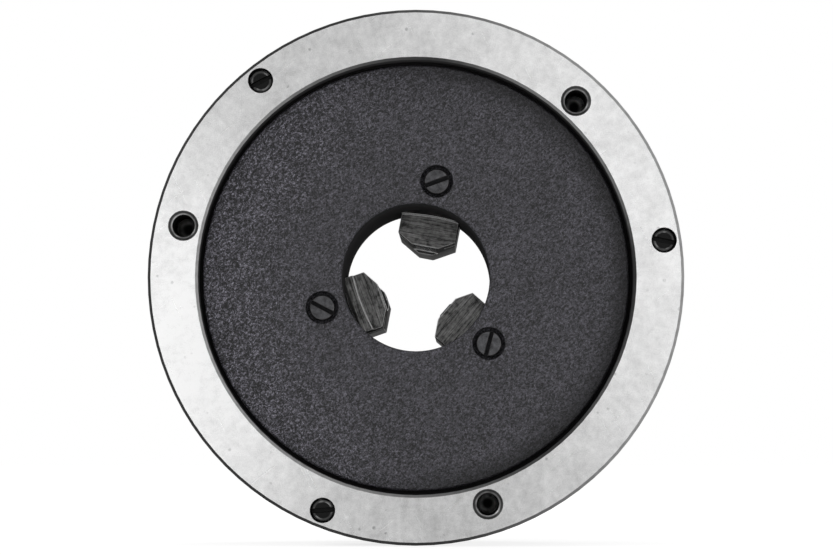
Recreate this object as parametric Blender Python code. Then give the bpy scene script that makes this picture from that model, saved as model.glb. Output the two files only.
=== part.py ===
"""Three-jaw self-centring scroll chuck, 160 mm, plain back with a register recess.

Frame: the spindle axis is world Y. The rear mounting face is the plane Y = 0 and
looks towards -Y, the front face is at Y = +65 mm and the jaws reach Y = +95 mm.
X is to the right and Z is up for somebody who looks at the rear face.
Lengths below are millimetres and are turned into metres when a mesh is made.
"depth" is the distance in front of the rear face, along +Y. Angles are degrees in
the XZ plane, from +X towards +Z.
"""
import math

import bmesh
import bpy
from mathutils import Matrix, Vector

MM = 0.001
GAP = 0.3                    # clearance between neighbouring pieces

# ---- Driving dimensions: body -------------------------------------------------
BODY_RADIUS = 80.0
BODY_LENGTH = 65.0
REGISTER_RADIUS = 65.0       # recess that centres the chuck on its adaptor plate
REGISTER_DEPTH = 5.0
BORE_RADIUS = 22.5
HUB_RADIUS = 36.0            # the scroll plate turns on the outside of the hub
CAVITY_RADIUS = 61.0
CAVITY_FLOOR = 44.0          # depth where the solid front wall begins
COVER_THICKNESS = 5.0
COVER_BOSS = 1.3             # extra thickness that stands on the hub

# ---- Driving dimensions: fasteners ---------------------------------------------
MOUNTING_CIRCLE = 71.0       # three M8 tapped holes on a 142 mm circle
MOUNTING_ANGLE = 47.6
MOUNTING_HOLE = (3.4, 18.0)  # radius and depth
MOUNTING_MOUTH = 4.55        # radius of the countersink
COVER_SCREW_CIRCLE = 29.5
COVER_SCREW_LAG = 1.4        # angle between a jaw and the cover screw behind it
COVER_SCREW_SLOTS = (20.0, -28.0, 75.0)
PINION_SCREW_CIRCLE = 74.8
PINION_SCREW_SINK = 2.3      # depth of the screw's outer face below the rim
PINION_SCREW_LAG = 10.9      # angle between a pinion and its retaining screw
PINION_SCREW_SLOTS = (-12.0, 27.0, 4.0)

# ---- Driving dimensions: jaws and scroll ---------------------------------------
JAW_ANGLES = (79.2, 199.2, 319.2)
JAW_WIDTH = 18.0
JAW_APEX = 9.5               # how far the point of each nose wedge is from the axis
JAW_LAND = 1.3               # nose land, from the wedge point
JAW_RELIEF = 2.4             # relieved nose below the land, from the wedge point
JAW_LENGTH = 65.5
JAW_BACK = CAVITY_FLOOR
JAW_STEPS = ((24.8, 95.0), (35.5, 86.0), (46.3, 77.0), (JAW_LENGTH, 68.0))
JAW_GROOVE = (51.4, 57.2, 3.0)   # depths of its two sides, and how deep it is cut
JAW_WEDGE = math.radians(30.0)
SCROLL_PITCH = 8.0
THREAD_WIDTH = 3.7
THREAD_ROOT = 40.2
THREAD_CREST = CAVITY_FLOOR - GAP
TOOTH_CREST = THREAD_ROOT + GAP
FIRST_TOOTH = 20.5           # middle of the first tooth of the jaw at the second angle

# ---- Driving dimensions: bevel drive -------------------------------------------
PINION_ANGLES = tuple(angle - 60.0 for angle in JAW_ANGLES)
PINION_DEPTH = 24.0
PINION_TEETH = 9
SCROLL_TEETH = 54
GEAR_RATIO = SCROLL_TEETH / PINION_TEETH
GEAR_RADIUS = 58.0           # the tooth sizes below are stated on this circle
ADDENDUM = 1.4
DEDENDUM = 1.8
FLANK_PLAY = 0.15            # each flank is thinned by this much
PRESSURE_ANGLE = math.radians(25.0)
JOURNAL_RADIUS = 12.4
KEY_SQUARE = 10.0
KEY_DEPTH = 14.0

SEGMENTS = 96                # facets of the largest turned surfaces
JOURNAL_SEGMENTS = 36
SCREW_SEGMENTS = 24


# ---- Mesh helpers --------------------------------------------------------------
def finish(name, bm, material, smooth_angle=35.0):
    """Turn a bmesh in millimetres into a named object in metres."""
    bmesh.ops.remove_doubles(bm, verts=bm.verts, dist=0.001)
    bmesh.ops.recalc_face_normals(bm, faces=bm.faces)
    bmesh.ops.scale(bm, vec=(MM, MM, MM), verts=bm.verts)
    mesh = bpy.data.meshes.new(name)
    bm.to_mesh(mesh)
    bm.free()
    mesh.shade_smooth()
    mesh.set_sharp_from_angle(angle=math.radians(smooth_angle))
    if material:
        mesh.materials.append(material)
    piece = bpy.data.objects.new(name, mesh)
    bpy.context.scene.collection.objects.link(piece)
    return piece


def turned(outline, segments, closed=True):
    """Spin an outline of (radius, depth) points about the Y axis."""
    bm = bmesh.new()
    points = [bm.verts.new((radius, depth, 0.0)) for radius, depth in outline]
    pairs = list(zip(points, points[1:]))
    if closed:
        pairs.append((points[-1], points[0]))
    edges = [bm.edges.new(pair) for pair in pairs]
    bmesh.ops.spin(bm, geom=points + edges, cent=(0, 0, 0), axis=(0, 1, 0),
                   angle=math.tau, steps=segments, use_merge=True)
    bmesh.ops.remove_doubles(bm, verts=bm.verts, dist=0.001)
    return bm


def prism(bm, outline, start, sweep):
    """Extrude a flat outline, a list of points given as vectors, along a vector."""
    offset = Vector(start)
    face = bm.faces.new([bm.verts.new(offset + Vector(point)) for point in outline])
    top = bmesh.ops.extrude_face_region(bm, geom=[face])["geom"]
    moved = [item for item in top if isinstance(item, bmesh.types.BMVert)]
    bmesh.ops.translate(bm, vec=sweep, verts=moved)
    return face


def skin(bm, rings):
    """Close the bands between rings whose counts are equal or whole multiples."""
    for ring, following in zip(rings, rings[1:]):
        coarse, fine = sorted((ring, following), key=len)
        share = len(fine) // len(coarse)
        for index, corner in enumerate(coarse):
            turn = coarse[(index + 1) % len(coarse)]
            run = [fine[(index * share + step) % len(fine)] for step in range(share + 1)]
            half = share // 2
            for step in range(share):
                if step < half:
                    bm.faces.new((corner, run[step + 1], run[step]))
                elif step == half:
                    bm.faces.new((corner, turn, run[step + 1], run[step]))
                else:
                    bm.faces.new((turn, run[step + 1], run[step]))


def ring(bm, points):
    """Add one ring of vertices and return it."""
    return [bm.verts.new(point) for point in points]


def circle(radius, count):
    """Points of a circle as (across, up) pairs, with a corner on the first axis."""
    return [(radius * math.cos(math.tau * index / count), radius * math.sin(math.tau * index / count))
            for index in range(count)]


def place(piece, radius, depth, angle, spin=None):
    """Put a piece at a radius and a depth on an angle. Its own X points outwards,
    or along the angle spin where that is given."""
    around = math.radians(angle)
    heading = around if spin is None else math.radians(spin)
    piece.location = Vector((radius * math.cos(around), depth, radius * math.sin(around))) * MM
    piece.rotation_euler = (0.0, -heading, 0.0)


def boolean(target, tool, operation="DIFFERENCE"):
    """Apply a hidden tool solid to a piece with a live Boolean modifier."""
    tool.hide_render = True
    tool.display_type = "WIRE"
    modifier = target.modifiers.new(tool.name, "BOOLEAN")
    modifier.operation = operation
    modifier.object = tool
    modifier.solver = "EXACT"


def copies_around(make, angles, radius, depth):
    """Join copies of a bmesh, made by a function, at several angles about the axis."""
    joined = bmesh.new()
    for angle in angles:
        part = make()
        around = math.radians(angle)
        spot = Vector((radius * math.cos(around), depth, radius * math.sin(around)))
        bmesh.ops.transform(part, verts=part.verts,
                            matrix=Matrix.Translation(spot) @ Matrix.Rotation(-around, 4, "Y"))
        mesh = bpy.data.meshes.new("copy")
        part.to_mesh(mesh)
        part.free()
        joined.from_mesh(mesh)
        bpy.data.meshes.remove(mesh)
    return joined


def three(start):
    """Three angles, evenly spaced."""
    return tuple(start + 120.0 * index for index in range(3))


# ---- Materials -----------------------------------------------------------------
def finish_material(name, colour, metallic, roughness):
    material = bpy.data.materials.new(name)
    material.use_nodes = True
    shader = material.node_tree.nodes["Principled BSDF"]
    shader.inputs["Base Color"].default_value = (*colour, 1.0)
    shader.inputs["Metallic"].default_value = metallic
    shader.inputs["Roughness"].default_value = roughness
    return material


# ---- Body ----------------------------------------------------------------------
def chuck_body(material):
    """Cup-shaped casting: rim, hub and a front wall with three jaw ways."""
    edge = 0.9
    ledge = REGISTER_DEPTH + COVER_THICKNESS + GAP
    hub_end = ledge + COVER_BOSS
    outline = [
        (BODY_RADIUS - edge, 0.0), (BODY_RADIUS, edge),
        (BODY_RADIUS, BODY_LENGTH - 1.0), (BODY_RADIUS - 1.0, BODY_LENGTH),
        (BORE_RADIUS + 1.0, BODY_LENGTH), (BORE_RADIUS, BODY_LENGTH - 1.0),
        (BORE_RADIUS, hub_end), (HUB_RADIUS, hub_end),
        (HUB_RADIUS, CAVITY_FLOOR), (CAVITY_RADIUS, CAVITY_FLOOR),
        (CAVITY_RADIUS, ledge), (REGISTER_RADIUS, ledge),
        (REGISTER_RADIUS, 0.8), (REGISTER_RADIUS + 0.8, 0.0),
    ]
    body = finish("chuck_body", turned(outline, SEGMENTS), material)
    boolean(body, finish("jaw_way_cutter", copies_around(jaw_way, JAW_ANGLES, 0.0, 0.0), None))
    bores = copies_around(pinion_bore, PINION_ANGLES, 0.0, PINION_DEPTH)
    boolean(body, finish("pinion_bore_cutter", bores, None))
    boolean(body, drill("mounting_drill", mounting_hole, three(MOUNTING_ANGLE), MOUNTING_CIRCLE))
    boolean(body, drill("pinion_screw_drill", pinion_screw_hole, pinion_screw_angles(),
                        PINION_SCREW_CIRCLE))
    boolean(body, drill("cover_screw_drill", cover_screw_tap, cover_screw_angles(),
                        COVER_SCREW_CIRCLE))
    return body


def jaw_way():
    """Cross-section of a jaw's guide way, with a rail on each side, along the radius."""
    wide = JAW_WIDTH / 2 + GAP
    narrow = wide - JAW_GROOVE[2]
    rail_low, rail_high = JAW_GROOVE[0] + GAP, JAW_GROOVE[1] - GAP
    half = [(THREAD_ROOT, wide), (rail_low, wide), (rail_low, narrow),
            (rail_high, narrow), (rail_high, wide), (BODY_LENGTH + 1.0, wide)]
    section = half + [(depth, -across) for depth, across in reversed(half)]
    bm = bmesh.new()
    prism(bm, [(0.0, depth, across) for depth, across in section], (18.0, 0.0, 0.0),
          (BODY_RADIUS - 16.0, 0.0, 0.0))
    return bm


def pinion_bore():
    """Radial bore for a pinion's journal, open to the scroll's cavity."""
    bm = bmesh.new()
    mouth = [(0.0, up, across) for up, across in circle(JOURNAL_RADIUS + 0.4, JOURNAL_SEGMENTS)]
    prism(bm, mouth, (CAVITY_RADIUS - 14.0, 0.0, 0.0), (BODY_RADIUS - CAVITY_RADIUS + 16.0, 0.0, 0.0))
    return bm


def drill(name, make, angles, circle_radius):
    return finish(name, copies_around(make, angles, circle_radius, 0.0), None)


def mounting_hole():
    radius, depth = MOUNTING_HOLE
    sink = MOUNTING_MOUTH - radius
    return turned([(0.0, -1.0), (MOUNTING_MOUTH + 1.0, -1.0), (radius, sink), (radius, depth),
                   (0.0, depth + radius * 0.6)], SCREW_SEGMENTS, closed=False)


def pinion_screw_hole():
    return turned([(0.0, -1.0), (3.8, -1.0), (3.8, 30.0), (0.0, 30.0)], SCREW_SEGMENTS, closed=False)


def cover_screw_tap():
    return turned([(0.0, 9.0), (3.0, 9.0), (3.0, 22.5), (0.0, 24.0)], SCREW_SEGMENTS, closed=False)


# ---- Rear cover and screws -------------------------------------------------------
def rear_cover(material):
    """Cast dust cover, with a boss on the hub and three counterbored screw holes."""
    inner, outer = BORE_RADIUS - 0.4, REGISTER_RADIUS - 1.1
    back = REGISTER_DEPTH
    outline = [
        (inner + 0.5, back), (outer - 0.5, back), (outer, back + 0.5),
        (outer, back + COVER_THICKNESS), (HUB_RADIUS + 6.0, back + COVER_THICKNESS),
        (HUB_RADIUS + 6.0, back + COVER_THICKNESS + COVER_BOSS),
        (inner, back + COVER_THICKNESS + COVER_BOSS), (inner, back + 0.5),
    ]
    cover = finish("rear_cover", turned(outline, 72), material)
    boolean(cover, drill("counterbore_drill", counterbore, cover_screw_angles(),
                         COVER_SCREW_CIRCLE))
    return cover


def counterbore():
    return turned([(0.0, 4.0), (4.9, 4.0), (4.9, 8.8), (3.0, 8.8), (3.0, 13.0), (0.0, 13.0)],
                  SCREW_SEGMENTS, closed=False)


def slotted_screw(name, outline, slot, material):
    """A screw turned about its own Y axis, with a driver slot along its own X."""
    screw = finish(name, turned(outline, SCREW_SEGMENTS, closed=False), material)
    width, depth, length = slot
    bm = bmesh.new()
    corners = [(-length, -1.0, -width / 2), (length, -1.0, -width / 2),
               (length, -1.0, width / 2), (-length, -1.0, width / 2)]
    prism(bm, corners, (0.0, 0.0, 0.0), (0.0, depth + 1.0, 0.0))
    cutter = finish(name + "_slot", bm, None)
    cutter.parent = screw
    boolean(screw, cutter)
    return screw


def cover_screw_angles():
    return tuple(angle - COVER_SCREW_LAG for angle in JAW_ANGLES)


def cover_screws(material):
    """Slotted cheese-head screws that hold the cover to the hub."""
    outline = [(0.0, 0.0), (3.5, 0.0), (3.85, 0.35), (3.85, 2.9), (2.7, 2.9), (2.7, 15.4), (2.2, 15.9),
               (0.0, 15.9)]
    made = []
    for number, angle in enumerate(cover_screw_angles()):
        screw = slotted_screw(f"cover_screw_{number + 1}", outline, (1.3, 1.5, 6.0), material)
        place(screw, COVER_SCREW_CIRCLE, 5.6, angle, spin=COVER_SCREW_SLOTS[number])
        made.append(screw)
    return made


def pinion_screw_angles():
    return tuple(angle - PINION_SCREW_LAG for angle in PINION_ANGLES)


def pinion_screws(material):
    """Headless slotted screws whose dog points stand in the pinions' grooves."""
    outline = [(0.0, 0.0), (3.1, 0.0), (3.5, 0.4), (3.5, 9.6), (2.85, 10.3), (2.85, 26.8), (2.5, 27.2),
               (0.0, 27.2)]
    made = []
    for number, angle in enumerate(pinion_screw_angles()):
        screw = slotted_screw(f"pinion_screw_{number + 1}", outline, (1.3, 1.7, 5.0), material)
        place(screw, PINION_SCREW_CIRCLE, PINION_SCREW_SINK, angle, spin=PINION_SCREW_SLOTS[number])
        made.append(screw)
    return made


# ---- Scroll plate ----------------------------------------------------------------
def rack_depth(radius, height):
    """Depth of the scroll's pitch cone at a radius, raised by a tooth height."""
    return PINION_DEPTH + radius / GEAR_RATIO - height * radius / GEAR_RADIUS


def bevel_columns():
    """Angle and height of the four corners of every bevel tooth of the scroll."""
    tooth = math.tau / SCROLL_TEETH
    lean = math.tan(PRESSURE_ANGLE)
    half = tooth / 4 - FLANK_PLAY / GEAR_RADIUS
    tip = half - ADDENDUM * lean / GEAR_RADIUS
    root = half + DEDENDUM * lean / GEAR_RADIUS
    start = math.radians(PINION_ANGLES[0])
    for index in range(SCROLL_TEETH):
        middle = start + index * tooth
        for offset, height in ((-root, -DEDENDUM), (-tip, ADDENDUM), (tip, ADDENDUM), (root, -DEDENDUM)):
            yield middle + offset, height


def scroll_plate(material):
    """Plate with a sleeve on the hub, bevel teeth behind and a spiral thread in front."""
    inner, outer = HUB_RADIUS + GAP, CAVITY_RADIUS - GAP
    sleeve, teeth_start = HUB_RADIUS + 5.5, 45.0
    sleeve_end = REGISTER_DEPTH + COVER_THICKNESS + COVER_BOSS + GAP
    relief = rack_depth(teeth_start, -DEDENDUM) + 0.5
    columns = list(bevel_columns())
    coarse = len(columns) // 3
    bm = bmesh.new()

    def plain(radius, depth):
        angles = [columns[index * 3][0] for index in range(coarse)]
        return ring(bm, [(radius * math.cos(a), depth, radius * math.sin(a)) for a in angles])

    def toothed(radius, depth=None):
        return ring(bm, [(radius * math.cos(a), rack_depth(radius, height) if depth is None else depth,
                          radius * math.sin(a)) for a, height in columns])

    front_inner = plain(inner, THREAD_CREST)
    front_outer = plain(outer, THREAD_CREST)
    skin(bm, [front_inner, plain(inner, sleeve_end), plain(sleeve, sleeve_end), plain(sleeve, relief),
              toothed(teeth_start, relief), toothed(teeth_start), toothed(outer), front_outer])
    half = coarse // 2
    for first in (0, half):
        span = [(first + step) % coarse for step in range(half + 1)]
        bm.faces.new([front_outer[i] for i in span] + [front_inner[i] for i in reversed(span)])
    scroll = finish("scroll_plate", bm, material)
    boolean(scroll, finish("spiral_cutter", spiral_groove(), None))
    return scroll


def groove_angle(radius):
    """Angle at which the middle of the spiral groove is at a radius."""
    return math.radians(JAW_ANGLES[1]) - (radius - FIRST_TOOTH) * math.tau / SCROLL_PITCH


def spiral_groove():
    """The thread's groove, swept from inside the scroll's bore to outside its rim."""
    first, last, steps_per_turn = 33.4, 63.4, 66
    steps = round((last - first) / SCROLL_PITCH * steps_per_turn)
    half = (SCROLL_PITCH - THREAD_WIDTH) / 2
    bm = bmesh.new()
    loops = []
    for step in range(steps + 1):
        radius = first + (last - first) * step / steps
        angle = groove_angle(radius)
        corners = ((radius - half, THREAD_CREST + 1.0), (radius + half, THREAD_CREST + 1.0),
                   (radius + half, THREAD_ROOT), (radius - half, THREAD_ROOT))
        loops.append(ring(bm, [(r * math.cos(angle), d, r * math.sin(angle)) for r, d in corners]))
    skin(bm, loops)
    bm.faces.new(loops[0])
    bm.faces.new(loops[-1])
    return bm


# ---- Pinions ---------------------------------------------------------------------
def involute(angle):
    return math.tan(angle) - angle


def pinion_outline():
    """Outline of the pinion's teeth on the gear circle, eight points a tooth."""
    pitch = GEAR_RADIUS / GEAR_RATIO
    base = pitch * math.cos(PRESSURE_ANGLE)
    tooth = math.tau / PINION_TEETH
    half = tooth / 4 - FLANK_PLAY / pitch + involute(PRESSURE_ANGLE)
    flank = []
    for radius in (base, (base + pitch + ADDENDUM) / 2, pitch + ADDENDUM):
        flank.append((radius, half - involute(math.acos(base / radius))))
    flank.insert(0, (pitch - DEDENDUM, half))
    points = []
    for index in range(PINION_TEETH):
        middle = tooth * (index + 0.5)
        sides = [(r, middle - a) for r, a in flank] + [(r, middle + a) for r, a in reversed(flank)]
        points += [(r * math.cos(a), r * math.sin(a)) for r, a in sides]
    return points


def pinion(number, angle, material):
    """Bevel pinion: teeth, a neck, a grooved journal and a square key socket."""
    groove = PINION_SCREW_CIRCLE * math.cos(math.radians(PINION_SCREW_LAG))
    neck, groove_radius, end = 7.0, 10.9, BODY_RADIUS - 1.2
    teeth_start, teeth_end, journal = 46.0, 60.2, CAVITY_RADIUS + 0.2
    outline = pinion_outline()
    bm = bmesh.new()

    def toothed(along):
        scale = along / GEAR_RADIUS
        return ring(bm, [(along, x * scale, z * scale) for x, z in outline])

    def round_ring(along, radius):
        return ring(bm, [(along, x, z) for x, z in circle(radius, JOURNAL_SEGMENTS)])

    stations = ((teeth_end, neck), (journal, neck), (journal, JOURNAL_RADIUS),
                (groove - 3.2, JOURNAL_RADIUS), (groove - 3.2, groove_radius),
                (groove + 3.2, groove_radius), (groove + 3.2, JOURNAL_RADIUS),
                (end - 0.5, JOURNAL_RADIUS), (end, JOURNAL_RADIUS - 0.5))
    rings = [toothed(teeth_start), toothed(teeth_end)]
    rings += [round_ring(along, radius) for along, radius in stations]
    skin(bm, rings)
    bm.faces.new(rings[0])
    bm.faces.new(rings[-1])
    piece = finish(f"pinion_{number}", bm, material)
    place(piece, 0.0, PINION_DEPTH, angle)

    key = bmesh.new()
    half = KEY_SQUARE / 2
    square = [(0.0, -half, -half), (0.0, half, -half), (0.0, half, half), (0.0, -half, half)]
    prism(key, square, (end - KEY_DEPTH, 0.0, 0.0), (KEY_DEPTH + 1.0, 0.0, 0.0))
    cutter = finish(f"key_cutter_{number}", key, None)
    cutter.parent = piece
    boolean(piece, cutter)
    return piece


# ---- Jaws ------------------------------------------------------------------------
def jaw_side():
    """Side view of a jaw: distance from the wedge point, and depth."""
    top = JAW_STEPS[0][1]
    edge = 0.6
    points = [(JAW_RELIEF, JAW_BACK), (JAW_RELIEF, 67.0), (JAW_LAND, 67.0),
              (JAW_LAND, top - edge), (JAW_LAND + edge, top)]
    for number, (end, level) in enumerate(JAW_STEPS):
        points += [(end - edge, level), (end, level - edge)]
        if number + 1 < len(JAW_STEPS):
            points.append((end, JAW_STEPS[number + 1][1]))
    points.append((JAW_LENGTH, JAW_BACK))
    return points


def jaw_plan():
    """Plan view of the jaw's blank: a bar with a pointed nose."""
    half = JAW_WIDTH / 2
    shoulder = half * math.tan(JAW_WEDGE)
    long_end = JAW_LENGTH + 5.0
    return [(0.0, 0.0), (shoulder, half), (long_end, half), (long_end, -half), (shoulder, -half)]


def tooth_outline(middle):
    """Crescent tooth: its hollow side fits the widest turn, its full side the tightest."""
    steps = 8
    half = JAW_WIDTH / 2
    slope = -SCROLL_PITCH / (math.tau * 48.0)

    def flank(offset, bend):
        line = []
        for step in range(steps + 1):
            across = -half + JAW_WIDTH * step / steps
            sag = bend - math.sqrt(bend ** 2 - across ** 2)
            line.append((middle + offset - sag + slope * across - JAW_APEX, TOOTH_CREST, across))
        return line

    inner = flank(-THREAD_WIDTH / 2, CAVITY_RADIUS)
    outer = flank(THREAD_WIDTH / 2, HUB_RADIUS)
    return inner + outer[::-1]


def jaw_teeth(angle):
    """All scroll teeth of one jaw. Each jaw's set is shifted by a third of the pitch."""
    shift = -SCROLL_PITCH * (angle - JAW_ANGLES[1]) / 360.0 % SCROLL_PITCH
    bm = bmesh.new()
    middle = FIRST_TOOTH + shift
    while middle + THREAD_WIDTH / 2 < JAW_APEX + JAW_LENGTH:
        prism(bm, tooth_outline(middle), (0.0, 0.0, 0.0), (0.0, JAW_BACK - TOOTH_CREST + 0.4, 0.0))
        middle += SCROLL_PITCH
    return bm


def jaw_grooves():
    """The two side grooves that run on the rails of the guide way."""
    low, high, deep = JAW_GROOVE
    half = JAW_WIDTH / 2
    bm = bmesh.new()
    for side in (-1.0, 1.0):
        corners = [(0.0, low, side * (half - deep)), (0.0, low, side * (half + 1.0)),
                   (0.0, high, side * (half + 1.0)), (0.0, high, side * (half - deep))]
        prism(bm, corners, (-1.0, 0.0, 0.0), (JAW_LENGTH + 4.0, 0.0, 0.0))
    return bm


def jaw(number, angle, material):
    """One-piece stepped jaw with a 120 degree nose, side grooves and scroll teeth."""
    half = JAW_WIDTH / 2
    bm = bmesh.new()
    prism(bm, [(x, depth, -half - 1.0) for x, depth in jaw_side()], (0.0, 0.0, 0.0),
          (0.0, 0.0, JAW_WIDTH + 2.0))
    piece = finish(f"jaw_{number}", bm, material)
    plan = bmesh.new()
    prism(plan, [(x, JAW_BACK - 1.0, across) for x, across in jaw_plan()], (0.0, 0.0, 0.0),
          (0.0, 60.0, 0.0))
    tools = (("plan", plan, "INTERSECT"), ("grooves", jaw_grooves(), "DIFFERENCE"),
             ("teeth", jaw_teeth(angle), "UNION"))
    for label, tool_bm, operation in tools:
        tool = finish(f"jaw_{number}_{label}", tool_bm, None)
        tool.parent = piece
        boolean(piece, tool, operation)
    place(piece, JAW_APEX, 0.0, angle)
    return piece


# ---- Assembly --------------------------------------------------------------------
def build():
    for old in list(bpy.data.objects):
        bpy.data.objects.remove(old, do_unlink=True)
    ground_iron = finish_material("ground_iron", (0.62, 0.62, 0.62), 1.0, 0.32)
    cast_black = finish_material("cast_black", (0.045, 0.043, 0.05), 0.3, 0.62)
    screw_steel = finish_material("screw_steel", (0.16, 0.16, 0.17), 0.9, 0.4)
    gear_steel = finish_material("gear_steel", (0.4, 0.4, 0.41), 1.0, 0.35)
    jaw_steel = finish_material("jaw_steel", (0.33, 0.33, 0.34), 1.0, 0.33)

    axis = bpy.data.objects.new("spindle_axis", None)
    bpy.context.scene.collection.objects.link(axis)
    pieces = [chuck_body(ground_iron), rear_cover(cast_black), scroll_plate(gear_steel)]
    pieces += cover_screws(screw_steel)
    pieces += pinion_screws(screw_steel)
    for number, angle in enumerate(PINION_ANGLES, start=1):
        pieces.append(pinion(number, angle, gear_steel))
    for number, angle in enumerate(JAW_ANGLES, start=1):
        pieces.append(jaw(number, angle, jaw_steel))
    for piece in pieces:
        piece.parent = axis


build()
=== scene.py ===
"""Looks of a 160 mm three-jaw scroll chuck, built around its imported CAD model.

World Y is the spindle axis. The rear face is at Y = 0 and looks towards -Y, the
jaws point along +Y, X is to the right and Z is up. Lengths named here are in
millimetres and angles in degrees, unless a name says otherwise.
"""
import math

import bmesh
import bpy
from mathutils import Matrix, Vector


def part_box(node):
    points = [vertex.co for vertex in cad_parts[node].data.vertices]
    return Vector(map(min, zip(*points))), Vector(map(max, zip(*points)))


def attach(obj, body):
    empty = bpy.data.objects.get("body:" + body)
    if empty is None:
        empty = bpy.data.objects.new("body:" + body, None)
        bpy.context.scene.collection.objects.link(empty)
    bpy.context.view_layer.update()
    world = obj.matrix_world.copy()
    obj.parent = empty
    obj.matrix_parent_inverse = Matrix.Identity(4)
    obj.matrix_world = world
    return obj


MM = 0.001

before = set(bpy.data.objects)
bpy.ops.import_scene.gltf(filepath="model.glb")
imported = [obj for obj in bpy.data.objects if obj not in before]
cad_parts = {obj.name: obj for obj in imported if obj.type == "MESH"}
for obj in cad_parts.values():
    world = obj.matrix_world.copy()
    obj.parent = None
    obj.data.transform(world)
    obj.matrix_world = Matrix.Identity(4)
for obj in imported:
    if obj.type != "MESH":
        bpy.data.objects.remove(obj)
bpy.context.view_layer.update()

BODY_LOW, BODY_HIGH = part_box("chuck_body")
BODY_RADIUS = BODY_HIGH.x / MM
BODY_LENGTH = BODY_HIGH.y / MM
REGISTER_RADIUS = 65.0
MIDDLE = 0.5                 # a noise texture's mean value
WHITE = (1.0, 1.0, 1.0)
MOUNTING_CIRCLE = 71.0
MOUNTING_ANGLES = (47.6, 167.6, 287.6)
JAW_ANGLES = (79.2, 199.2, 319.2)
PINION_ANGLES = (19.2, 139.2, 259.2)
PINION_SCREW_CIRCLE = 74.8
PINION_SCREW_ANGLES = (8.3, 128.3, 248.3)
PINION_DEPTH = 24.0
JAW_NUMBER_HEIGHT = 68.01    # just above the jaws' outer step
NUMBER_SIZE = 5.0


# ---- Shader arithmetic -----------------------------------------------------------
class Shade:
    """A shader socket that takes part in Python arithmetic, one Math node a step."""

    def __init__(self, finish, socket):
        self.finish = finish
        self.socket = socket

    def maths(self, operation, *values):
        """Add a Math node whose first input is this socket."""
        names = dict(enumerate((self, *values)))
        return self.finish.node("ShaderNodeMath", {"operation": operation}, names)

    def __add__(self, other):
        return self.maths("ADD", other)

    def __radd__(self, other):
        return self.maths("ADD", other)

    def __sub__(self, other):
        return self.maths("SUBTRACT", other)

    def __rsub__(self, other):
        return (self * -1.0) + other

    def __mul__(self, other):
        return self.maths("MULTIPLY", other)

    def __rmul__(self, other):
        return self.maths("MULTIPLY", other)

    def __pow__(self, other):
        return self.maths("POWER", other)

    def __abs__(self):
        return self.maths("ABSOLUTE")

    def step(self, low, high):
        """0 below low and 1 above high, with a soft change between them.
        A low above high turns it round."""
        falling = low > high
        span = (high, low, 1.0, 0.0) if falling else (low, high, 0.0, 1.0)
        return self.finish.node("ShaderNodeMapRange", {"interpolation_type": "SMOOTHSTEP"},
                                {0: self, 1: span[0], 2: span[1], 3: span[2], 4: span[3]})


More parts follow.
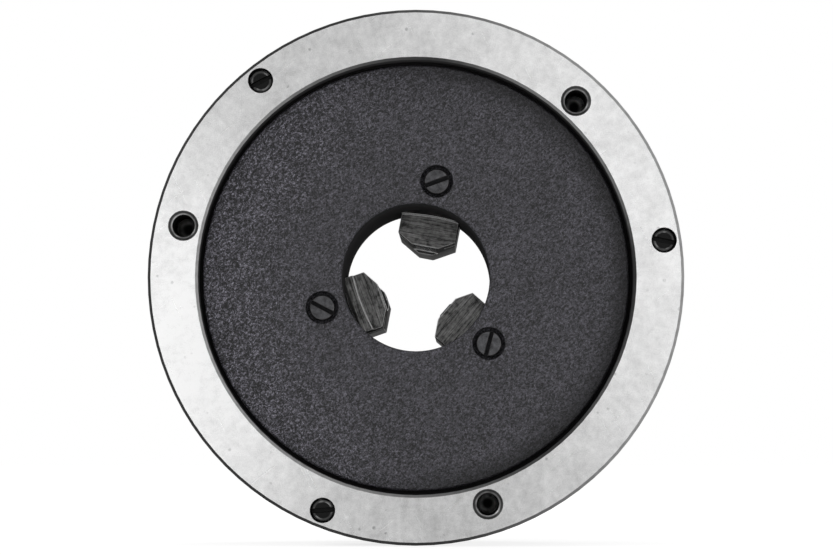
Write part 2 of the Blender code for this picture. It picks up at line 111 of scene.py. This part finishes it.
class Finish:
    """A material being made: its node tree and the few moves that build it."""

    def __init__(self, name, metallic=1.0, turn=0.0):
        self.material = bpy.data.materials.new(name)
        self.material.use_nodes = True
        self.tree = self.material.node_tree
        self.shader = self.tree.nodes["Principled BSDF"]
        self.shader.inputs["Metallic"].default_value = metallic
        spot = self.node("ShaderNodeTexCoord", output="Object")
        spot = self.node("ShaderNodeVectorMath", {"operation": "SCALE"},
                         {0: spot, "Scale": 1.0 / MM})
        facing = self.node("ShaderNodeNewGeometry", output="Normal")
        spaces = {"vector_type": "NORMAL", "convert_from": "WORLD", "convert_to": "OBJECT"}
        facing = self.node("ShaderNodeVectorTransform", spaces, {0: facing})
        self.spot = self.turned(spot, turn)
        self.x, self.y, self.z = self.split(self.spot)
        self.nx, self.ny, self.nz = self.split(self.turned(facing, turn))

    def node(self, kind, settings=None, inputs=None, output=0):
        """Add a node. Settings go on the node, and inputs are numbers, colours or
        Shades for its sockets."""
        made = self.tree.nodes.new(kind)
        for name, value in (settings or {}).items():
            setattr(made, name, value)
        for name, value in (inputs or {}).items():
            if isinstance(value, Shade):
                self.tree.links.new(value.socket, made.inputs[name])
            else:
                made.inputs[name].default_value = value
        return Shade(self, made.outputs[output])

    def turned(self, vector, angle):
        """The vector as seen by a piece that stands at an angle about the Y axis."""
        if not angle:
            return vector
        return self.node("ShaderNodeVectorRotate", {"rotation_type": "Y_AXIS"},
                         {"Vector": vector, "Angle": math.radians(angle)})

    def split(self, vector):
        """The three parts of a vector."""
        parts = self.node("ShaderNodeSeparateXYZ", None, {0: vector})
        outputs = parts.socket.node.outputs
        return tuple(Shade(self, outputs[index]) for index in range(3))

    def joined(self, x, y, z):
        """A vector from three values."""
        return self.node("ShaderNodeCombineXYZ", None, {0: x, 1: y, 2: z})

    def noise(self, scale, where=None, detail=2.0, roughness=0.5):
        """Cloudy value around 0.5. Scale is in cells a millimetre."""
        return self.node("ShaderNodeTexNoise", None,
                         {"Vector": self.spot if where is None else where, "Scale": scale,
                          "Detail": detail, "Roughness": roughness})

    def cells(self, scale):
        """Distance to the nearest of scattered points, about one a cell."""
        return self.node("ShaderNodeTexVoronoi", {"feature": "F1"},
                         {"Vector": self.spot, "Scale": scale}, "Distance")

    def blend(self, amount, first, second):
        """Mix two colours."""
        names = {0: amount, 6: self.colour(first), 7: self.colour(second)}
        return self.node("ShaderNodeMix", {"data_type": "RGBA"}, names, 2)

    def tint(self, colour, value):
        """Multiply a colour by a value."""
        return self.node("ShaderNodeVectorMath", {"operation": "SCALE"},
                         {0: colour, "Scale": value})

    @staticmethod
    def colour(value):
        """A colour with an alpha added, as a colour socket wants it."""
        return value if isinstance(value, Shade) else (*value, 1.0)

    def wear(self, colour, roughness, height=None, bump_mm=0.02, metallic=None):
        """Connect the finished colour, roughness and surface height."""
        values = {"Base Color": colour, "Roughness": roughness, "Metallic": metallic}
        for name, value in values.items():
            if isinstance(value, Shade):
                self.tree.links.new(value.socket, self.shader.inputs[name])
            elif value is not None:
                self.shader.inputs[name].default_value = value
        if height is not None:
            bump = self.node("ShaderNodeBump", None,
                             {"Height": height, "Strength": 1.0, "Distance": bump_mm * MM})
            self.tree.links.new(bump.socket, self.shader.inputs["Normal"])
        return self.material


def length_of(first, second):
    """Distance from an axis, from the two coordinates across it."""
    return (first * first + second * second) ** 0.5


# ---- Finishes --------------------------------------------------------------------
# Angles about the axis at which the painted sheen on the rim and the painted highlights on the
# chamfers change most.
SHEEN_SIDES_ANGLE = math.radians(20.0)     # the rim's painted sheen is brightest here and opposite
SHEEN_THIRDS_ANGLE = math.radians(233.0)   # the painted sheen is a little brighter at a third of this and every 120 degrees
SHEEN_TOP_ANGLE = math.radians(125.0)      # and a little brighter on this side
CHAMFER_HIGHLIGHT_ANGLE = math.radians(10.0)    # the outer chamfer's painted highlight is brightest here
RECESS_HIGHLIGHT_ANGLE = math.radians(200.0)    # the recess chamfer's painted highlight is brightest here
RECESS_HIGHLIGHT_TOO_ANGLE = math.radians(45.0)     # and, over a shorter arc, here
SINK_RADIUS, SINK_MOUTH = 3.95, 4.7  # the mounting holes' countersinks
# Tones of the recess chamfer away from its painted highlight, and in it.
DULL_EDGE = (0.07, 0.07, 0.07)
HIGHLIGHT_EDGE = (0.56, 0.56, 0.56)


def scratches(made, across, along, density, seed):
    """Thin broken lines that run along one coordinate."""
    where = made.joined(across * density + seed, along * 0.06, seed)
    return made.noise(1.0, where, 1.0).step(0.70, 0.76)


def ground_iron():
    """The body: bright ground rim with a painted sheen, turned outside and front,
    hollows dark with oil and painted shade, painted highlights on the chamfers.
    """
    made = Finish("ground_iron")
    radius = length_of(made.x, made.z)
    around = made.z.maths("ARCTAN2", made.x)
    flat = abs(made.ny).step(0.93, 0.99)
    rear = made.y.step(0.25, 0.02) * flat
    sloped = abs(made.ny).step(0.25, 0.4) * (1.0 - flat)
    outside = radius.step(BODY_RADIUS - 0.6, BODY_RADIUS - 0.3) * (1.0 - flat) * (1.0 - sloped)
    front = made.y.step(BODY_LENGTH - 0.5, BODY_LENGTH - 0.1) * flat
    inside = 1.0 - (rear + outside + front).step(0.2, 0.8)
    sink = nearest_axis(made, MOUNTING_CIRCLE, MOUNTING_ANGLES)

    cloud = made.noise(0.11, detail=3.0)
    patch = made.noise(0.45, detail=4.0, roughness=0.6)
    grain = made.noise(3.2, detail=2.0, roughness=0.7)
    rings = made.noise(1.0, made.joined(radius * 3.0, around * 1.4, 0.0), 3.0, 0.7)
    bands = made.noise(1.0, made.joined(made.y * 2.6, around * 0.8, 4.0), 3.0, 0.7)
    # Painted sheen: the rim's tone rises and falls with the angle about the axis, as light falls on
    # the turned face. The noise added to it is real tarnish and grain.
    sheen_sides = (around * 2.0 - SHEEN_SIDES_ANGLE * 2.0).maths("COSINE")
    sheen_thirds = (around * 3.0 - SHEEN_THIRDS_ANGLE).maths("COSINE")
    sheen_top = (around - SHEEN_TOP_ANGLE).maths("COSINE")
    tarnish_and_sheen = 0.79 + sheen_sides * 0.15 + sheen_thirds * 0.05 + sheen_top * 0.03 + (cloud - MIDDLE) * 0.30
    tarnish_and_sheen = tarnish_and_sheen + (patch - MIDDLE) * 0.40 + (grain - MIDDLE) * 0.40
    cuts = scratches(made, made.x + made.z * 0.5, made.z, 2.2, 3.0)
    cuts = (cuts + scratches(made, made.z - made.x * 0.8, made.x, 2.0, 9.0)) * rear
    specks = made.cells(0.22).step(0.16, 0.06) * patch.step(0.42, 0.6)
    rim = made.tint(WHITE, tarnish_and_sheen + cuts * 0.04 - specks * 0.3)

    lathe = (bands - MIDDLE) * 0.30 + (cloud - MIDDLE) * 0.25 + (grain - MIDDLE) * 0.10
    outer = made.tint((0.50, 0.50, 0.50), 1.0 + lathe)
    face = made.tint((0.56, 0.56, 0.555), 1.0 + (rings - MIDDLE) * 0.35 + (cloud - MIDDLE) * 0.25)
    # Hollows: dark with oil, and darker still as painted shade.
    oily_shaded_hollow = made.tint((0.020, 0.019, 0.020), 0.75 + cloud * 0.5)
    tapped = nearest_axis(made, PINION_SCREW_CIRCLE, PINION_SCREW_ANGLES).step(4.3, 4.0)
    oily_shaded_hollow = made.blend(tapped * made.y.step(2.5, 2.0), oily_shaded_hollow, (0.055, 0.055, 0.055))
    # Painted highlight: the rear outer chamfer is lighter on one side.
    chamfer_highlight = (around - CHAMFER_HIGHLIGHT_ANGLE).maths("COSINE").step(-0.1, 0.9)
    edge = made.tint(WHITE, 0.05 + chamfer_highlight * 0.38)
    edge = made.blend(made.y.step(1.5, 2.5), edge, (0.33, 0.33, 0.33))
    recess = radius.step(REGISTER_RADIUS + 2.0, REGISTER_RADIUS + 1.5)
    recess = recess * radius.step(REGISTER_RADIUS - 1.0, REGISTER_RADIUS - 0.5)
    # Painted highlight on the recess chamfer: broad on one side, over a shorter arc on another.
    recess_highlight = (around - RECESS_HIGHLIGHT_ANGLE).maths("COSINE").step(-0.5, 1.0)
    recess_highlight = recess_highlight + (around - RECESS_HIGHLIGHT_TOO_ANGLE).maths("COSINE").step(0.75, 1.0) * 0.5
    edge = made.blend(recess, edge, made.blend(recess_highlight, DULL_EDGE, HIGHLIGHT_EDGE))
    # Painted glints round the inner edge of the mounting holes' countersinks.
    glint = sink.step(SINK_RADIUS, 3.5) * (made.noise(0.35, detail=1.0) * 2.0 - 0.35)
    edge = made.blend(sink.step(SINK_MOUTH, 4.6), edge, made.tint(WHITE, 0.09 + glint * 0.9))
    edge = made.tint(edge, 0.6 + patch * 0.8)
    colour = made.blend(outside, oily_shaded_hollow, outer)
    colour = made.blend(front, colour, face)
    colour = made.blend(sloped * (1.0 - outside), colour, edge)
    colour = made.blend(rear, colour, rim)
    matt = inside * (1.0 - sloped)
    roughness = 0.33 + (patch - MIDDLE) * 0.12 + matt * 0.6 - cuts * 0.08
    height = grain * 0.35 + rings * rear * 0.5 + rings * front
    height = height + bands * outside + patch * 0.6 - cuts * 0.4
    return made.wear(colour, roughness, height, 0.012, metallic=1.0 - matt)


def nearest_axis(made, circle_radius, angles):
    """Distance from the nearest of three hole axes that run along Y."""
    nearest = None
    for angle in angles:
        across = made.x - circle_radius * math.cos(math.radians(angle))
        up = made.z - circle_radius * math.sin(math.radians(angle))
        distance = length_of(across, up)
        nearest = distance if nearest is None else nearest.maths("MINIMUM", distance)
    return nearest


def cast_black():
    """Rear cover: black as-cast skin with a close, pebbled grain, painted light on its left and a
    painted shadow by the recess wall on its right.
    """
    made = Finish("cast_black", metallic=0.0)
    radius = length_of(made.x, made.z)
    skin = (made.ny * -1.0).step(0.2, 0.6).maths("MAXIMUM", radius.step(50.0, 55.0))
    drift = made.noise(0.9, detail=2.0)
    where = made.joined(made.x + drift * 1.6, made.y, made.z + drift * 1.3)
    crumbs = made.noise(1.9, where, 2.0, 0.6)
    dust = made.noise(3.2, detail=1.0)
    cloud = made.noise(0.07, detail=3.0)
    # Painted light: the cover's left side is lighter, with coarser grain and more glints.
    lit = (made.x * -1.0).step(-10.0, 60.0) * radius.step(28.0, 58.0)
    grain = (crumbs - MIDDLE) * (5.6 + lit * 6.5) + (dust - MIDDLE) * (3.0 + lit * 4.0)
    # Bright flecks all over, with extra painted glints on the lit left side.
    flecks_and_glints = crumbs.step(0.56, 0.66) * dust.step(0.46, 0.58) * (0.15 + lit)
    # Painted shadow: darker near the recess wall on the right.
    shade = made.x.step(-25.0, 25.0) * radius.step(56.0, 63.0)
    level = 0.76 + (cloud - MIDDLE) * 0.4 + grain + flecks_and_glints * 2.6 + lit * 0.12
    level = level.maths("MAXIMUM", 0.10) * (1.0 - shade * 0.65)
    colour = made.blend(skin, (0.012, 0.012, 0.012), made.tint((0.059, 0.057, 0.068), level))
    roughness = 0.92 - skin * (0.42 + crumbs * 0.12)
    return made.wear(colour, roughness, crumbs + dust * 0.5, 0.45)


def worn_edge(name, colour):
    """Rounded arrises, rubbed brighter than the faces beside them."""
    made = Finish(name)
    patch = made.noise(0.8, detail=3.0)
    return made.wear(made.tint(colour, 0.55 + patch * 0.9), 0.28 + patch * 0.12)


def jaw_steel(number, angle):
    """Ground jaw, darkened by oil, with tool marks across its width, and painted shade on its outer
    tooth crests, its front step and its faces toward the axis.
    """
    made = Finish(f"jaw_steel_{number}", turn=angle)
    face = abs(made.ny).step(0.6, 0.9)
    streaks = made.noise(1.0, made.joined(made.x * 2.4, made.y * 2.4, made.z * 0.10), 4.0, 0.65)
    lines = made.noise(1.0, made.joined(made.x * 9.0, made.y * 9.0, made.z * 0.25), 2.0)
    cloud = made.noise(0.22, detail=3.0)
    grain = made.noise(4.0, detail=2.0)
    outside = made.y.step(BODY_LENGTH - 1.0, BODY_LENGTH + 1.0)
    blotch = made.noise(0.7, detail=4.0, roughness=0.7)
    # Faces toward the axis: glossier, and darker as painted shade.
    nose_polish_and_shade = (made.nx * -1.0).step(0.93, 0.99) * made.y.step(67.5, 66.5)
    # Painted shadow on the rear-facing step near the jaw's front.
    shadowed_ledge = face * made.y.step(60.0, 66.0) * made.y.step(67.8, 67.3) * made.x.step(13.5, 12.5)
    # Painted shade on the tooth crests beyond the first tooth.
    shaded_crests = made.y.step(45.0, 43.0) * made.x.step(20.8, 21.4)
    level = (0.11 + outside * 0.20 + face * 0.06) * (1.0 - nose_polish_and_shade * 0.3)
    level = level * (1.0 - shaded_crests * 0.85) * (1.0 - shadowed_ledge * 0.9)
    marks = (streaks - MIDDLE) * 4.4 + (blotch - MIDDLE) * 3.0
    marks = marks + (lines - MIDDLE) * 3.4 + (cloud - MIDDLE) * 1.6
    stained = 0.16 + made.y.step(46.0, 44.5) * face * 0.84
    colour = made.tint((1.0, 0.995, 0.985), level * (1.0 + marks * stained).maths("MAXIMUM", 0.18))
    roughness = 0.36 + stained * 0.08 + (streaks - MIDDLE) * 0.2 + (blotch - MIDDLE) * stained * 0.2
    roughness = roughness * (1.0 - nose_polish_and_shade * 0.7)
    return made.wear(colour, roughness, lines + streaks * 0.8 + grain * 0.3, 0.012)


def machined(name, colour, turn=0.0, radial=False):
    """Lathe-turned steel. Radial pieces are turned about their own X, the rest about Y."""
    made = Finish(name, turn=turn)
    if radial:
        depth = made.y - PINION_DEPTH
        distance, along = length_of(depth, made.z), made.x
        flat = abs(made.nx).step(0.8, 0.95)
    else:
        distance, along = length_of(made.x, made.z), made.y
        flat = abs(made.ny).step(0.8, 0.95)
    reach = flat * distance + (1.0 - flat) * along
    lines = made.noise(1.0, made.joined(reach * 4.5, flat * 7.0, 0.0), 3.0, 0.7)
    cloud = made.noise(0.2, detail=3.0)
    grain = made.noise(3.5)
    shade = made.tint(colour, 0.62 + lines * 0.45 + cloud * 0.35)
    roughness = 0.30 + (cloud - MIDDLE) * 0.2 + (grain - MIDDLE) * 0.1
    return made.wear(shade, roughness, lines + grain * 0.3, 0.012)


def pinion_screw_steel():
    """Black oiled screws with a grey ring near the thread, broken by painted glints."""
    made = Finish("pinion_screw_steel", metallic=0.85)
    away = nearest_axis(made, PINION_SCREW_CIRCLE, PINION_SCREW_ANGLES)
    cloud = made.noise(0.8, detail=4.0, roughness=0.6)
    sparkle = made.noise(0.45, detail=1.0).step(0.45, 0.7)
    bands = made.noise(1.0, made.joined(away * 3.5, 0.0, 0.0), 2.0).step(0.45, 0.6)
    # Painted glints in broken bands on the grey ring round the screw.
    level = 0.012 + away.step(2.3, 2.6) * (0.06 + bands * sparkle * 0.55) * made.y.step(3.4, 3.1)
    return made.wear(made.tint(WHITE, level), 0.35 + cloud * 0.3, cloud, 0.02)


def screw_steel():
    """Blackened screws, rubbed grey on the outer face and dark below it."""
    made = Finish("screw_steel", metallic=0.85)
    cloud = made.noise(0.8, detail=4.0, roughness=0.6)
    grain = made.noise(5.0)
    cuts = scratches(made, made.x * 1.7 + made.z, made.z, 5.0, 2.0)
    level = 0.06 + (cloud - MIDDLE) * 0.16 + (grain - MIDDLE) * 0.10 + cuts * 0.08
    top = made.y.step(6.5, 5.9)
    level = level.maths("MAXIMUM", 0.02) * (0.45 + top * 0.8)
    roughness = 0.42 + (cloud - MIDDLE) * 0.3 + (1.0 - top) * 0.4
    return made.wear(made.tint((0.98, 0.98, 1.04), level), roughness, grain + cloud, 0.02)


def stamp_black():
    """Dark filling of the stamped numbers."""
    made = Finish("stamp_black", metallic=0.0)
    grain = made.noise(6.0)
    return made.wear(made.tint((0.03, 0.03, 0.03), 0.6 + grain), 0.7)


# ---- Placing -----------------------------------------------------------------------
def spot_at(radius, angle, depth):
    """World point, in metres, at a radius and an angle about the spindle axis."""
    around = math.radians(angle)
    return Vector((radius * math.cos(around), depth, radius * math.sin(around))) * MM


def added(name, mesh, material, body):
    """Link a new mesh piece, give it its material and let it ride on a body."""
    piece = bpy.data.objects.new(name, mesh)
    bpy.context.scene.collection.objects.link(piece)
    mesh.materials.append(material)
    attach(piece, body)
    return piece


# ---- CAD nodes ----------------------------------------------------------------------
def dress(node, material, edge_material, edge_mm):
    """Give a CAD node its finish and round its sharp edges, which take the worn finish."""
    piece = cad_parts[node]
    piece.data.materials.clear()
    piece.data.materials.append(material)
    piece.data.materials.append(edge_material)
    for polygon in piece.data.polygons:
        polygon.material_index = 0
    piece.data.shade_smooth()
    weld = piece.modifiers.new("weld", "WELD")
    weld.merge_threshold = 0.000002
    flatten = piece.modifiers.new("flatten", "DECIMATE")
    flatten.decimate_type = "DISSOLVE"
    flatten.angle_limit = math.radians(0.4)
    bevel = piece.modifiers.new("arris", "BEVEL")
    bevel.width = edge_mm * MM
    bevel.segments = 2
    bevel.limit_method = "ANGLE"
    bevel.angle_limit = math.radians(32.0)
    bevel.material = 1
    bevel.miter_outer = "MITER_ARC"
    even = piece.modifiers.new("even", "WEIGHTED_NORMAL")
    even.mode = "FACE_AREA"
    even.weight = 100


def dress_all():
    """Give every CAD node its finish."""
    bright = worn_edge("worn_bright", (0.85, 0.85, 0.85))
    dark = worn_edge("worn_dark", (0.20, 0.198, 0.195))
    black = worn_edge("worn_black", (0.09, 0.088, 0.09))
    dress("chuck_body", ground_iron(), dark, edge_mm=0.15)
    cast = cast_black()
    dress("rear_cover", cast, cast, edge_mm=0.3)
    dress("scroll_plate", machined("gear_steel", (0.34, 0.34, 0.345)), bright, edge_mm=0.12)
    cover_screw, pinion_screw = screw_steel(), pinion_screw_steel()
    for number in range(1, 4):
        dress(f"cover_screw_{number}", cover_screw, black, edge_mm=0.1)
        dress(f"pinion_screw_{number}", pinion_screw, pinion_screw, edge_mm=0.1)
    for number, angle in enumerate(PINION_ANGLES, start=1):
        steel = machined(f"pinion_steel_{number}", (0.30, 0.30, 0.305), turn=angle, radial=True)
        dress(f"pinion_{number}", steel, bright, edge_mm=0.15)
    for number, angle in enumerate(JAW_ANGLES, start=1):
        dress(f"jaw_{number}", jaw_steel(number, angle), bright, edge_mm=0.15)


# ---- Threads ------------------------------------------------------------------------
def thread_mesh(name, radius, height, pitch, first, last):
    """A helical ridge on a tapped hole's wall, from one depth to another, about Y."""
    steps = 24                       # to each turn
    count = round((last - first) / pitch * steps)
    bm = bmesh.new()
    loops = []
    for index in range(count + 1):
        angle = math.tau * index / steps
        depth = first + pitch * index / steps
        fade = min(1.0, index / steps, (count - index) / steps)
        peak = radius - height * max(fade, 0.05)
        corners = ((radius, depth - pitch * 0.42), (peak, depth), (radius, depth + pitch * 0.42))
        loops.append([bm.verts.new((r * math.cos(angle) * MM, d * MM, r * math.sin(angle) * MM))
                      for r, d in corners])
    for start, end in zip(loops, loops[1:]):
        for side in range(3):
            other = (side + 1) % 3
            bm.faces.new((start[side], start[other], end[other], end[side]))
    bm.faces.new(loops[0])
    bm.faces.new(loops[-1])
    bmesh.ops.recalc_face_normals(bm, faces=bm.faces)
    mesh = bpy.data.meshes.new(name)
    bm.to_mesh(mesh)
    bm.free()
    return mesh


def threads():
    """Threads of the mounting holes, and in the holes above the pinions' screws."""
    steel = machined("thread_steel", (0.09, 0.09, 0.09))
    for number, angle in enumerate(PINION_SCREW_ANGLES, start=1):
        mesh = thread_mesh(f"screw_thread_{number}", 3.76, 0.40, 1.0, 0.55, 2.1)
        mesh.transform(Matrix.Translation(spot_at(PINION_SCREW_CIRCLE, angle, 0.0)))
        added(f"screw_thread_{number}", mesh, steel, "root")
    for number, angle in enumerate(MOUNTING_ANGLES, start=1):
        mesh = thread_mesh(f"mounting_thread_{number}", 3.36, 0.32, 1.25, 1.9, 16.5)
        mesh.transform(Matrix.Translation(spot_at(MOUNTING_CIRCLE, angle, 0.0)))
        added(f"mounting_thread_{number}", mesh, steel, "root")


# ---- Stamped numbers ----------------------------------------------------------------
def numeral(name, text, height, matrix, body, material):
    """A stamped number: a thin dark inlay that lies on a flat face."""
    curve = bpy.data.curves.new(name, "FONT")
    curve.body = text
    curve.size = height * 1.37 * MM
    curve.align_x = "CENTER"
    curve.align_y = "CENTER"
    curve.extrude = 0.02 * MM
    letter = bpy.data.objects.new(name + "_outline", curve)
    bpy.context.scene.collection.objects.link(letter)
    bpy.context.view_layer.update()
    shaped = letter.evaluated_get(bpy.context.evaluated_depsgraph_get())
    mesh = bpy.data.meshes.new_from_object(shaped)
    bpy.data.objects.remove(letter)
    mesh.name = name
    mesh.materials.clear()
    mesh.transform(matrix)
    return added(name, mesh, material, body)


def facing_front(radius, angle, depth, sideways):
    """Matrix of a number on a face that looks along +Y, its top away from the axis."""
    around = math.radians(angle)
    outward = Vector((math.cos(around), 0.0, math.sin(around)))
    normal = Vector((0.0, 1.0, 0.0))
    across = outward.cross(normal)
    matrix = Matrix((across, outward, normal)).transposed().to_4x4()
    matrix.translation = outward * radius * MM + across * sideways * MM + normal * depth * MM
    return matrix


def numbers():
    """Each jaw and its way carry the same number."""
    ink = stamp_black()
    for number, angle in enumerate(JAW_ANGLES, start=1):
        on_body = facing_front(72.0, angle, BODY_LENGTH + 0.01, 14.0)
        on_jaw = facing_front(65.5, angle, JAW_NUMBER_HEIGHT, 0.0)
        numeral(f"way_number_{number}", str(number), NUMBER_SIZE, on_body, "root", ink)
        numeral(f"jaw_number_{number}", str(number), NUMBER_SIZE, on_jaw, f"jaw_{number}", ink)


# ---- Stage --------------------------------------------------------------------------
CAMERA_DISTANCE = 1000.0
CAMERA_BELOW = 3.0           # the camera looks up at the rear face by this angle
CAMERA_RIGHT = 0.9           # and stands this far round to the right
SENSOR = 36.0
LENS = 145.1
AIM = (0.27, 0.0, -0.30)     # the point it looks at


def camera():
    """The camera behind the chuck, looking at its rear face."""
    down, right = math.radians(CAMERA_BELOW), math.radians(CAMERA_RIGHT)
    level = math.cos(down)
    back = Vector((math.sin(right) * level, -math.cos(right) * level, -math.sin(down)))
    lens = bpy.data.cameras.new("camera")
    lens.lens = LENS
    lens.sensor_width = SENSOR
    lens.clip_start, lens.clip_end = 0.02, 20.0
    eye = bpy.data.objects.new("camera", lens)
    eye.location = back * CAMERA_DISTANCE * MM
    eye.rotation_euler = (Vector(AIM) * MM - eye.location).to_track_quat("-Z", "Y").to_euler()
    bpy.context.scene.collection.objects.link(eye)
    bpy.context.scene.camera = eye


def floor():
    """A large pale sheet that glows a little, so only a faint shadow shows on it."""
    mesh = bpy.data.meshes.new("floor")
    half, level = 6.0, BODY_LOW.z - 0.0002
    corners = ((-half, -half), (half, -half), (half, half), (-half, half))
    mesh.from_pydata([(*corner, level) for corner in corners], [], [(0, 1, 2, 3)])
    sheet = bpy.data.objects.new("floor", mesh)
    bpy.context.scene.collection.objects.link(sheet)
    mesh.materials.append(glowing("floor_white", 0.45, 1.0, 0.76))
    unseen_by_object(sheet)


def glowing(name, grey, roughness, strength):
    """A dull material that gives off white light."""
    material = bpy.data.materials.new(name)
    material.use_nodes = True
    shader = material.node_tree.nodes["Principled BSDF"]
    shader.inputs["Base Color"].default_value = (grey, grey, grey, 1.0)
    shader.inputs["Roughness"].default_value = roughness
    shader.inputs["Specular IOR Level"].default_value = 0.0
    shader.inputs["Emission Color"].default_value = (*WHITE, 1.0)
    shader.inputs["Emission Strength"].default_value = strength
    return material


def unseen_by_object(thing):
    """Keep a stage piece out of the object's light and reflections."""
    thing.visible_diffuse = False
    thing.visible_glossy = False
    thing.visible_shadow = False


def backdrop():
    """A white dome round everything, only there to be the plain background."""
    bm = bmesh.new()
    bmesh.ops.create_uvsphere(bm, u_segments=48, v_segments=24, radius=9.0)
    mesh = bpy.data.meshes.new("backdrop")
    bm.to_mesh(mesh)
    bm.free()
    dome = bpy.data.objects.new("backdrop", mesh)
    bpy.context.scene.collection.objects.link(dome)
    mesh.materials.append(glowing("backdrop_white", 0.0, 0.5, 1.0))
    unseen_by_object(dome)


def lamp(name, place, size, power):
    """A rectangular soft light that looks at the origin."""
    light = bpy.data.lights.new(name, "AREA")
    light.shape = "RECTANGLE"
    light.size, light.size_y = (side * MM for side in size)
    light.energy = power
    shine = bpy.data.objects.new(name, light)
    shine.location = Vector(place) * MM
    shine.rotation_euler = (-shine.location).to_track_quat("-Z", "Y").to_euler()
    bpy.context.scene.collection.objects.link(shine)


def studio():
    """Soft white surroundings with a dark card straight behind the chuck, and soft lights."""
    world = bpy.data.worlds.new("studio")
    world.use_nodes = True
    nodes, links = world.node_tree.nodes, world.node_tree.links
    direction = nodes.new("ShaderNodeTexCoord")
    split = nodes.new("ShaderNodeSeparateXYZ")
    ramp = nodes.new("ShaderNodeMapRange")
    for name, value in (("From Min", 0.72), ("From Max", 0.88), ("To Min", 0.62), ("To Max", 0.03)):
        ramp.inputs[name].default_value = value
    links.new(direction.outputs["Generated"], split.inputs[0])
    links.new(split.outputs["Y"], ramp.inputs["Value"])
    links.new(ramp.outputs["Result"], nodes["Background"].inputs["Strength"])
    nodes["Background"].inputs["Color"].default_value = (*WHITE, 1.0)
    bpy.context.scene.world = world
    lamp("left_strip", (-330.0, -1050.0, 60.0), (220.0, 700.0), 0.55)
    lamp("right_strip", (330.0, -1050.0, 60.0), (220.0, 700.0), 0.55)
    lamp("key", (700.0, -700.0, -20.0), (300.0, 300.0), 0.8)
    lamp("left_rake", (-800.0, -250.0, 500.0), (300.0, 300.0), 1.0)
    lamp("front_soft", (400.0, 900.0, 700.0), (600.0, 600.0), 2.0)


bpy.context.scene.view_settings.view_transform = "Standard"
camera()
floor()
backdrop()
studio()
dress_all()
threads()
numbers()
